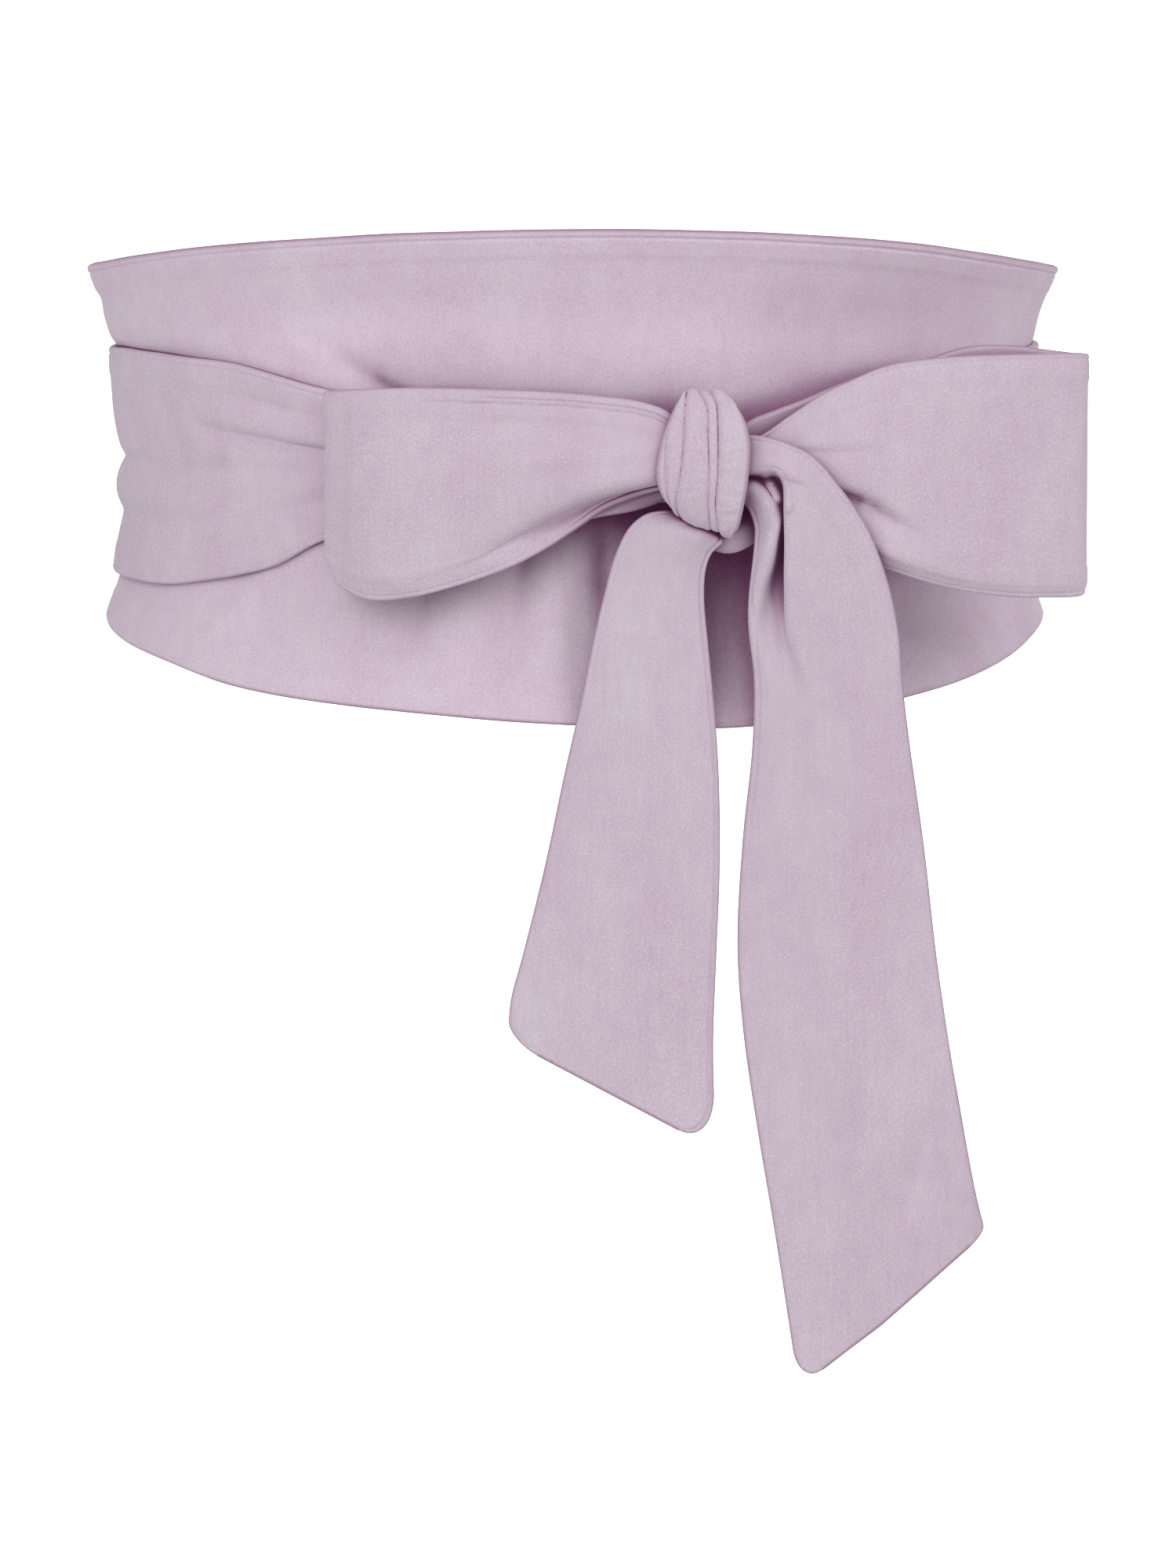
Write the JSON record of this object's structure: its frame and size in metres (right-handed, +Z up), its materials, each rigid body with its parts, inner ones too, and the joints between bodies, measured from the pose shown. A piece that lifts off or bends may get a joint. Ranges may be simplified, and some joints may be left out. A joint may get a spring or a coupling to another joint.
{
  "type": "obi belt",
  "caption": "Soft suede obi belt worn round the waist: a broad shaped front panel, with ties that cross at the back and are knotted in a bow with loops and hanging tails.",
  "frame": {"origin": "middle of the worn waist, at the height where the panel is narrowest", "axes": "+Z up, front of the belt towards -Y, +X to the right of someone who looks at the front"},
  "size_m": [0.2932, 0.2258, 0.3319],
  "materials": {
    "suede_panel": "matt napped microsuede",
    "suede_ties": "matt napped microsuede",
    "suede_knot": "matt napped microsuede, drawn tight"
  },
  "bodies": {
    "root": {"front_panel": "suede_panel", "tie_wrap_left": "suede_ties", "tie_wrap_right": "suede_ties", "bow_loop_left": "suede_ties", "bow_loop_right": "suede_ties", "knot_wrap": "suede_knot", "knot_core": "suede_knot", "tail_left": "suede_ties", "tail_right": "suede_ties"}
  },
  "joints": []
}
